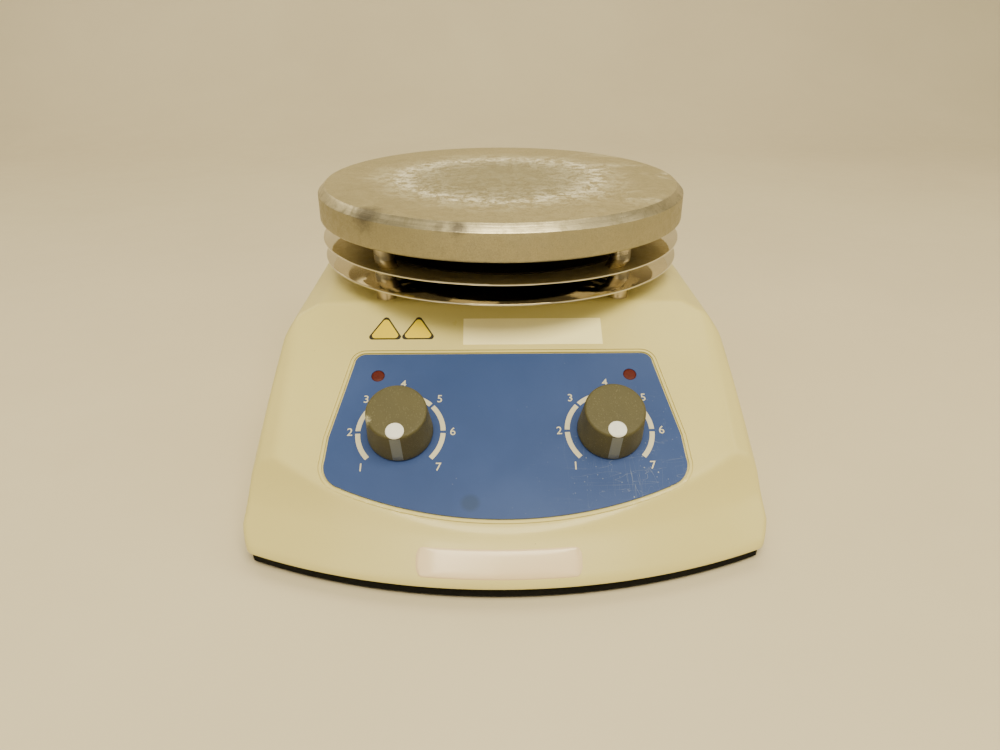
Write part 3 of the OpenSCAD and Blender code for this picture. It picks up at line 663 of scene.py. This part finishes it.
# lamp lenses: dark red, faceted inside
lens_mat = m = Mat("lens_red")
m.set(IOR=1.45, Specular_IOR_Level=0.25)
facets = m.voronoi(900)
m.color(m.mix(m.rise(facets, 0.1, 0.5), (0.055, 0.005, 0.002), (0.08, 0.007, 0.003)))
m.rough(m.noise(300, 3), 0.3, 0.42, 0.7, 0.60)
m.bump((facets, 0.2, 0.0003))

# knobs: dark olive moulding with a sparkle in the grain and one rubbed spot
knob_mat = m = Mat("knob_olive")
m.set(Specular_IOR_Level=0.35)
grain = m.noise(2600, 3, 0.6)
sparkle = m.rise(m.voronoi(2900, out="Color"), 0.78, 0.95)
cloud = m.noise(60, 4, 0.6)
col = m.mix(m.rise(cloud, 0.3, 0.7), shade(OLIVE, 0.9), shade(OLIVE, 1.12))
col = m.mix(m.mul(sparkle, 0.30), col, (0.24, 0.22, 0.13))
rubbed = m.math("DIVIDE", m.ragged(m.away(m.split(), RUBBED), m.noise(1100, 5, 0.8), 0.006), 0.0030)
m.color(m.mix(m.fall(rubbed, 0.25, 0.75, 0.75), col, (0.46, 0.43, 0.28)))
m.rough(m.mix(0.5, grain, cloud), 0.3, 0.42, 0.7, 0.62)
m.bump((grain, 0.35, 0.0003), (sparkle, 0.2, 0.0001))

# the knobs' white dot
pointer_mat = m = Mat("pointer_white")
grain = m.noise(2300, 3, 0.6)
m.color(m.mix(m.rise(m.noise(180, 5, 0.7), 0.35, 0.7), (0.76, 0.78, 0.76), (0.84, 0.86, 0.84)))
m.rough(grain, 0.3, 0.42, 0.7, 0.60)
m.bump((grain, 0.3, 0.0002))

# the rest, from one recipe: colour, metal, roughness, grain, bump, variation
clamp_mat = basic("clamp_scorched", (0.035, 0.028, 0.018), 0.6, 0.55, 700, 0.25, 0.35)
heater_mat = basic("heater_scorched", (0.06, 0.05, 0.04), 0.5, 0.6, 900, 0.3, 0.3)
print_mat = basic("print_pale", (0.60, 0.57, 0.42), 0, 0.42, 1300, 0.10, 0.06)
# the pointer's stripe: the same white inlay as the dot, coloured dark grey to paint the shade on the flank that
# faces down
stripe_painted_shade_mat = basic("pointer_stripe_painted_shade", (0.17, 0.185, 0.185), 0, 0.5, 2300, 0.3, 0.07)
label_mat = basic("label_paper", (1.0, 0.91, 0.50), 0, 0.45, 1500, 0.05, 0.03)
badge_mat = basic("badge_domed", (0.80, 0.63, 0.40), 0, 0.18, 400, 0.02, 0.03, coat=0.6)
yellow_mat = basic("sign_yellow", (0.76, 0.58, 0.0), 0, 0.48, 1300, 0.06, 0.04)
border_mat = basic("sign_border", (0.012, 0.010, 0.006), 0, 0.48, 1300, 0.06, 0.2)
# base tray: a real dark part; its colour is pushed almost to zero and its specular lowered so it also paints the
# contact shadow under the housing's rim
tray_and_shadow_mat = basic("tray_black_and_painted_shadow", (0.002, 0.002, 0.002), 0, 0.8, 1400, 0.3, 0.2)
tray_and_shadow_mat.set(Specular_IOR_Level=0.2)
rubber_mat = basic("foot_rubber", (0.014, 0.013, 0.012), 0, 0.75, 1100, 0.35, 0.25)
zinc_mat = basic("zinc_plate", (0.60, 0.58, 0.50), 1, 0.32, 900, 0.12, 0.12)
grey_mat = basic("moulded_grey", (0.12, 0.12, 0.12), 0, 0.5, 1200, 0.2, 0.12)
board_mat = basic("board_green", (0.015, 0.075, 0.030), 0, 0.35, 700, 0.15, 0.18, coat=0.3)
parts_mat = basic("board_parts", (0.03, 0.05, 0.12), 0, 0.4, 1000, 0.15, 0.2)
sheet_mat = basic("sheet_zinc", (0.55, 0.54, 0.50), 1, 0.38, 300, 0.15, 0.15, streak=(1, 0.06, 1))
motor_mat = basic("motor_enamel", (0.10, 0.105, 0.11), 0.3, 0.42, 800, 0.2, 0.15)
bearing_mat = basic("bearing_ground", (0.68, 0.68, 0.66), 1, 0.16, 1200, 0.06, 0.06)
inlet_mat = basic("inlet_black", (0.015, 0.015, 0.016), 0, 0.42, 1500, 0.35, 0.2)
pin_mat = basic("pin_plated", (0.72, 0.60, 0.34), 1, 0.25, 1200, 0.1, 0.1, streak=(1, 0.08, 1))
sensor_mat = basic("sensor_bright", (0.62, 0.62, 0.60), 1, 0.28, 900, 0.1, 0.1)
ceramic_mat = basic("ceramic_white", (0.66, 0.62, 0.50), 0, 0.6, 800, 0.15, 0.05)
sleeve_mat = basic("sleeve_glass", (0.55, 0.52, 0.42), 0, 0.8, 1600, 0.5, 0.12)
shaft_mat = basic("shaft_ground", (0.62, 0.62, 0.60), 1, 0.24, 1400, 0.1, 0.06, streak=(0.06, 0.06, 1))
arm_mat = basic("armature_lacquer", (0.20, 0.08, 0.035), 0.5, 0.4, 1500, 0.3, 0.2, streak=(0.05, 0.05, 1))
carrier_mat = basic("carrier_dark", (0.02, 0.02, 0.022), 0, 0.5, 1200, 0.2, 0.2)
magnet_mat = basic("magnet_nickel", (0.52, 0.51, 0.49), 1, 0.22, 900, 0.08, 0.08)
drawer_mat = basic("drawer_black", (0.017, 0.017, 0.018), 0, 0.46, 1500, 0.35, 0.2)
led_mat = basic("led_red", (0.30, 0.02, 0.012), 0, 0.2, 700, 0.05, 0.15, coat=0.5)
fuse_mat = basic("fuse_glass", (0.62, 0.66, 0.64), 0.1, 0.12, 900, 0.05, 0.08)

# CAD nodes that stay, with a better material
cad_mats = {
    "base_plate": tray_and_shadow_mat, "rubber_feet": rubber_mat, "foot_screws": zinc_mat, "base_screws": zinc_mat,
    "fascia": foil_mat, "dial_rings": print_mat, "lamp_leds": led_mat, "pot_bodies": grey_mat,
    "pot_nuts": zinc_mat, "control_board": board_mat, "board_parts": parts_mat, "board_screws": zinc_mat,
    "motor_bracket": sheet_mat, "bracket_screws": zinc_mat, "motor_can": motor_mat,
    "motor_bearings": bearing_mat, "power_inlet": inlet_mat, "inlet_pins": pin_mat,
    "inlet_screws": zinc_mat, "heater_element": heater_mat, "heater_clamp": clamp_mat,
    "thermal_sensor": sensor_mat, "spacers_upper": spacer_mat, "spacers_middle": spacer_mat,
    "spacers_lower": spacer_mat, "pillar_studs": zinc_mat, "pillar_nuts": zinc_mat,
    "lead_bushing": ceramic_mat, "heater_leads": sleeve_mat, "rod_socket": shaft_mat,
    "brow_label": label_mat, "motor_shaft": shaft_mat, "armature": arm_mat,
    "magnet_carrier": carrier_mat, "drive_magnets": magnet_mat, "grub_screw": zinc_mat,
    "heating_shaft": shaft_mat, "stirring_shaft": shaft_mat, "fuse_drawer": drawer_mat, "fuses": fuse_mat,
}
for node, mat in cad_mats.items():
    repaint(nodes[node], mat)

# ================================================================ housing
VENTS, VENT_X, VENT_PITCH, VENT_W = 8, 0.0140, 0.007, 0.0034
VENT_Z0, VENT_Z1 = 0.016, 0.040

# recess for the panel, then the holes for shafts, lamps, studs, leads and rod
cuts = [prism(fascia_outline(0.0007), -0.0008, 0.006, PANEL)]
for s in (-1, 1):
    cuts.append(disc(0.0047, -0.012, 0.008, PANEL @ Matrix.Translation((s * DIAL_X, 0, 0))))
    cuts.append(disc(0.00255, -0.012, 0.008, PANEL @ Matrix.Translation((s * LAMP_X, LAMP_Y, 0)), 40))
cuts += stud_holes(0.060, 0.080, 24)
cuts.append(disc(0.007, 0.060, 0.080, Matrix.Translation((0, LEAD_Y, 0)), 48))
cuts.append(disc(0.0081, 0.050, 0.080, Matrix.Translation((ROD_X, ROD_Y, 0)), 48))
# opening for the power inlet and the ventilation slots beside it
cuts.append(prism([(INLET_X - 0.016, 0.120), (INLET_X + 0.016, 0.120), (INLET_X + 0.016, 0.140),
                   (INLET_X - 0.016, 0.140)], INLET_Z - 0.013, INLET_Z + 0.016))
for i in range(VENTS):
    x0 = VENT_X + i * VENT_PITCH
    slot = [(x0, VENT_Z0), (x0 + VENT_W, VENT_Z0), (x0 + VENT_W, VENT_Z1), (x0, VENT_Z1)]
    cuts.append(prism(rounded(slot, [0.0016] * 4, 4), -0.140, -0.122, Matrix.Rotation(math.radians(90), 4, "X")))
# fine moulded line around the panel
cuts.append(fascia_groove(0.00195, 0.00155, -0.0005, 0.004))
shell = housing_shell(shell_mat)
carve(shell, cuts, shell_mat)
piece(shell, "base", "housing_shell", "housing")

# ================================================================ plate and shields
at_plate = Matrix.Translation((0, PLATE_Y, 0))
R, Z0, Z1, BEVEL = 0.080, 0.096, 0.110, 0.003
profile = rounded([(0, Z0), (R - 0.0006, Z0), (R, Z0 + 0.0006), (R, Z1 - BEVEL), (R - BEVEL, Z1), (0, Z1)],
                  [0, 0.0004, 0.0004, 0.00025, 0.00030, 0], 3)
# groove for the ring heater in the underside
profile[1:1] = [(0.0438, Z0), (0.0438, Z0 + 0.005), (0.0522, Z0 + 0.005), (0.0522, Z0)]
plate = lathe("plate_top", profile, 256, plate_mat, at_plate)
plate.data.materials.append(bevel_mat.m)
for f in plate.data.polygons:
    c = f.center
    if (math.hypot(c.x, c.y - PLATE_Y) > R - BEVEL - 0.0002 and c.z > Z1 - BEVEL - 0.0001
            and f.normal.z > 0.2):
        f.material_index = 1
smooth_by_angle(plate, 20)
piece(plate, "base", "plate_aluminium", "work_plate")


def shield(name, r, z, node):
    """A thin disc with a broken edge, its top at z."""
    t = 0.0008
    profile = [(0, z - t), (r - 0.0003, z - t), (r - 0.0001, z - t + 0.0001), (r, z - t * 0.5),
               (r - 0.0001, z - 0.0001), (r - 0.0003, z), (0, z)]
    ob = lathe(name, profile, 256, shield_mat, at_plate)
    lead_hole = disc(0.0069, z - 0.004, z + 0.004, Matrix.Translation((0, LEAD_Y, 0)), 40)
    carve(ob, [lead_hole] + stud_holes(z - 0.004, z + 0.004, 20), shield_mat)
    piece(ob, "base", "shield_mirror", node)


shield("shield_disc_upper", 0.0795, 0.088, "upper_shield")
shield("shield_disc_lower", 0.0790, 0.080, "lower_shield")

# ================================================================ knobs
FOOT_R, TOP_R, KNOB_H, EDGE = 0.0119, 0.0107, 0.0155, 0.0009      # EDGE rounds the top rim
FLANK = KNOB_H - 0.0018                                          # height of the tapered flank
DOT_R, DOT_Y, DOT_RISE = 0.0033, -(TOP_R - 0.0028), 0.00022
STRIPE, STRIPE_RISE = 0.0022, 0.00008                            # half the stripe's width


def side_r(z):
    return FOOT_R + (TOP_R - FOOT_R) * (z - 0.001) / FLANK


def knob(sign, name, body, node):
    place = PANEL @ Matrix.Translation((sign * DIAL_X, 0, 0))
    # bore, hollow underside and foot
    profile = [(0.003, 0.0130), (0.003, 0.0040), (0.005, 0.0040), (0.0085, 0.0060), (0.0087, 0.0006)]
    profile += [(FOOT_R - 0.0004, 0.0006), (FOOT_R - 0.0001, 0.0008)]
    # flank, rounded rim and flat top
    profile += [(side_r(0.001 + FLANK * k / 10), 0.001 + FLANK * k / 10) for k in range(0, 11)]
    profile += arc(TOP_R - EDGE, KNOB_H - EDGE, EDGE, 0, 90, 5)[1:]
    profile += [(0.008, KNOB_H), (0.0045, KNOB_H), (0.0, KNOB_H), (0.0, 0.0130)]
    ob = lathe(name, profile, 160, knob_mat, place, closed=True)
    smooth_by_angle(ob, 50)
    piece(ob, body, "knob_olive", node)


def over_rim(x, y, lift):
    """A point of the flat top laid over the knob's rounded rim, lift above the surface."""
    r, flat = math.hypot(x, y), TOP_R - EDGE
    if r <= flat:
        return x, y, KNOB_H + lift
    t = min((r - flat) / EDGE, math.pi / 2)
    down = max(0.0, r - flat - EDGE * math.pi / 2)
    rr = flat + (EDGE + lift) * math.sin(t) + down * 0.07
    return x / r * rr, y / r * rr, KNOB_H - EDGE + (EDGE + lift) * math.cos(t) - down


def pointer(sign, name, body, node):
    """White inlay: a round dot at the top rim and a stripe down the flank, a hair proud of the knob; the stripe
    is coloured dark grey as painted shade.
    """
    place = PANEL @ Matrix.Translation((sign * DIAL_X, 0, 0))
    # stripe: rows down the flank, its edges and its foot tucked under the surface
    seg, verts, faces = 10, [], []
    for i, z in enumerate([0.0011, 0.0013, 0.004, 0.007, 0.010, 0.0125, KNOB_H - 0.0009]):
        for k in range(seg + 1):
            r = side_r(z) + (STRIPE_RISE if 0 < k < seg else -0.0002)
            u = (2 * k / seg - 1) * STRIPE
            r -= 0.0003 if i == 0 else 0
            verts.append(place @ Vector((r * math.sin(u / r), -r * math.cos(u / r), z)))
            if i and k:
                a = len(verts) - seg - 3
                faces.append((a, a + 1, a + seg + 2, a + seg + 1))
    # the stripe takes the dark grey material: painted shade on the white inlay
    strip = new_mesh(name + "_stripe", verts, faces, stripe_painted_shade_mat)
    fix_normals(strip)
    # dot: a thin disc laid over the rim, its edge tucked under the surface
    n, rings = 64, 12
    verts = [place @ Vector(over_rim(0, DOT_Y, DOT_RISE))]
    for j in range(1, rings + 1):
        q = j / rings
        h = DOT_RISE * math.sqrt(max(0, 1 - q ** 8)) - (0.00015 if j == rings else 0)
        verts += [place @ Vector(over_rim(x, DOT_Y + y, h)) for x, y in circle(DOT_R * q, n)]
    faces = [(0, 1 + i, 1 + (i + 1) % n) for i in range(n)]
    for j in range(rings - 1):
        for i in range(n):
            a, b = 1 + j * n + i, 1 + j * n + (i + 1) % n
            faces.append((a, a + n, b + n, b))
    dot = new_mesh(name + "_dot", verts, faces, pointer_mat)
    fix_normals(dot)
    ob = join(name, [strip, dot])
    ob.data.polygons.foreach_set("use_smooth", [True] * len(ob.data.polygons))
    piece(ob, body, "pointer_white", node)


SIDES = (-1, "heating"), (1, "stirring")
for sign, side in SIDES:
    knob(sign, side + "_knob_cap", side + "_control", side + "_knob")
    pointer(sign, side + "_mark", side + "_control", side + "_pointer")

# ================================================================ lamps
for sign, side in SIDES:
    place = PANEL @ Matrix.Translation((sign * LAMP_X, LAMP_Y, 0))
    # flange behind the panel, stem and a faintly domed face
    profile = [(0, -0.0040), (0.0035, -0.0040), (0.0035, -0.0030), (0.00245, -0.0030), (0.00245, -0.0002),
               (0.00235, -0.00005), (0.0021, 0.00002), (0.0016, 0.00008), (0.0008, 0.00012), (0, 0.00013)]
    ob = lathe(side + "_lens", profile, 64, lens_mat, place)
    smooth_by_angle(ob, 50)
    piece(ob, "base", "lens_red", side + "_lamp")


# ================================================================ dial numerals
def numeral(ch, x, y, size):
    cu = bpy.data.curves.new("num", "FONT")
    cu.body = ch
    cu.size = size
    cu.align_x = "CENTER"
    cu.align_y = "CENTER"
    cu.extrude = 0.00003
    cu.offset = 0.00002
    cu.resolution_u = 6
    o = bpy.data.objects.new("num", cu)
    scene.collection.objects.link(o)
    bpy.context.view_layer.update()
    dg = bpy.context.evaluated_depsgraph_get()
    me = bpy.data.meshes.new_from_object(o.evaluated_get(dg))
    bpy.data.objects.remove(o)
    me.transform(PANEL @ Matrix.Translation((x, y, 0.00004)))
    ob = bpy.data.objects.new("num", me)
    scene.collection.objects.link(ob)
    repaint(ob, print_mat)
    return ob


# each figure's distance from its dial's axis, and a nudge to the right
NUMERALS = ((0.0199, 0.0008), (0.0187, 0.0004), (0.0195, 0.0003), (0.0204, 0),
            (0.0195, 0), (0.0189, 0), (0.0199, 0))
for sign, side in SIDES:
    group = []
    for k, (r, nudge) in enumerate(NUMERALS):
        a = math.radians(225 - 45 * k)
        group.append(numeral(str(k + 1), sign * DIAL_X + r * math.cos(a) + nudge, r * math.sin(a), 0.0044))
    piece(join(side + "_numerals", group), "base", "print_white")


# ================================================================ stickers
def apron_y(x, z):
    """The form's front surface at x, z."""
    return -bisect(lambda t: form(np.array([[x, -t, z]]))[0] < 0, 0.05, 0.16, 30)


def badge():
    """A domed label on the apron, its edge tucked under the surface."""
    hw, z0, z1 = 0.0280, 0.0095, 0.0167
    shift, corner = -0.0028, 0.0026
    zc, hh = (z0 + z1) / 2, (z1 - z0) / 2
    nx, nz = 56, 18
    out = Vector((0, -0.70, 0.70))
    verts, faces = [], []
    for j in range(nz + 1):
        for i in range(nx + 1):
            # rows closer together at the edges
            u, v = [math.sin(t * math.pi / 2) * 0.5 + t * 0.5 for t in (2 * i / nx - 1, 2 * j / nz - 1)]
            x, z = u * hw, v * hh
            # a squared circle keeps the grid and rounds the corners
            ex, ez = abs(x) - (hw - corner), abs(z) - (hh - corner)
            if ex > 0 and ez > 0:
                k = max(ex, ez) / math.hypot(ex, ez)
                x = math.copysign(hw - corner + ex * k, x)
                z = math.copysign(hh - corner + ez * k, z)
            edge = max(abs(u), abs(v))
            h = -0.0002 if edge > 0.999 else 0.0007 * (1 - edge ** 10) ** 0.5 + 0.00005
            verts.append(Vector((x + shift, apron_y(x + shift, zc + z), zc + z)) + out * h)
    for j in range(nz):
        for i in range(nx):
            a = j * (nx + 1) + i
            faces.append((a, a + 1, a + nx + 2, a + nx + 1))
    ob = new_mesh("apron_badge", verts, faces, badge_mat)
    fix_normals(ob)
    ob.data.update()
    if ob.data.polygons[len(ob.data.polygons) // 2].normal.y > 0:
        ob.data.flip_normals()
    piece(ob, "base", "label_silver", "apron_label")


badge()


def flat_patch(name, outline, h0, h1, mat):
    """A sticker on the slope from h0 up to h1, its top a hair smaller."""
    n = len(outline)
    c = (sum(p[0] for p in outline) / n, sum(p[1] for p in outline) / n)
    inset = [(c[0] + (x - c[0]) * 0.985, c[1] + (y - c[1]) * 0.985) for x, y in outline]
    v = [PANEL @ Vector((x, y, h0)) for x, y in outline] + [PANEL @ Vector((x, y, h1)) for x, y in inset]
    f = [(i, (i + 1) % n, (i + 1) % n + n, i + n) for i in range(n)] + [tuple(range(n, 2 * n))]
    ob = new_mesh(name, v, f, mat, smooth=False)
    fix_normals(ob)
    return ob


def triangle(cx, size):
    points = [(cx - 0.0073, 0.0410), (cx + 0.0073, 0.0410), (cx, 0.0532)]
    c = Vector((cx, 0.0450))
    return rounded([tuple(c + (Vector(p) - c) * size) for p in points], [0.0013] * 3, 6)


signs = []
for cx in (-0.0464, -0.0335):
    signs.append(flat_patch("sign_border", triangle(cx, 1.0), -0.0001, 0.00012, border_mat))
    signs.append(flat_patch("sign_face", triangle(cx, 0.84), 0.00010, 0.00017, yellow_mat))
piece(join("hazard_patches", signs), "base", "sign_yellow", "hazard_signs")

# ================================================================ stage and light
floor_mat = m = Mat("floor_pale")
m.color(m.mix(m.rise(m.noise(5, 6, 0.6, 0.3), 0.3, 0.7), (0.64, 0.57, 0.42), (0.68, 0.61, 0.45)))
m.rough(m.noise(60, 5), 0.3, 0.42, 0.7, 0.55)
m.bump((m.noise(300, 4), 0.04, 0.001))

# floor, a quarter-round bend and the wall behind, as (y, z) points
FLOOR_HALF, BEND_Y, BEND_R = 2.4, 0.7, 0.5
profile = [(-1.6, 0.0), (BEND_Y, 0.0)] + arc(BEND_Y, BEND_R, BEND_R, -90, 0, 12)[1:] + [(BEND_Y + BEND_R, 2.6)]
verts = [(x, y, z) for y, z in profile for x in (-FLOOR_HALF, FLOOR_HALF)]
faces = [(a, a + 1, a + 3, a + 2) for a in range(0, 2 * len(profile) - 2, 2)]
floor = new_mesh("stage_floor", verts, faces, floor_mat)

WARM = (1.0, 0.89, 0.62)


def area(name, loc, size, power, size_y=None):
    """A soft light aimed at the middle of the object."""
    la = bpy.data.lights.new(name, "AREA")
    la.shape = "RECTANGLE"
    la.size = size
    la.size_y = size_y or size
    la.energy = power
    la.color = WARM
    o = bpy.data.objects.new(name, la)
    scene.collection.objects.link(o)
    o.location = loc
    aim = Vector((0, 0, 0.05)) - Vector(loc)
    o.rotation_euler = aim.to_track_quat("-Z", "Y").to_euler()


area("key_front_top", (0.10, -0.80, 1.25), 1.1, 30, 0.6)
area("ceiling", (0.15, 0.45, 1.35), 1.0, 7, 0.7)
area("front_soft", (-0.55, -1.2, 0.75), 0.9, 5)
area("side_right", (1.1, -0.2, 0.75), 0.7, 3.0)
area("rear_left", (-0.9, 0.8, 0.9), 0.6, 3.0)
world = bpy.data.worlds.new("studio")
scene.world = world
world.use_nodes = True
background = world.node_tree.nodes["Background"]
background.inputs[0].default_value = (*WARM, 1)
background.inputs[1].default_value = 0.30

# ================================================================ scene update
bpy.context.view_layer.update()
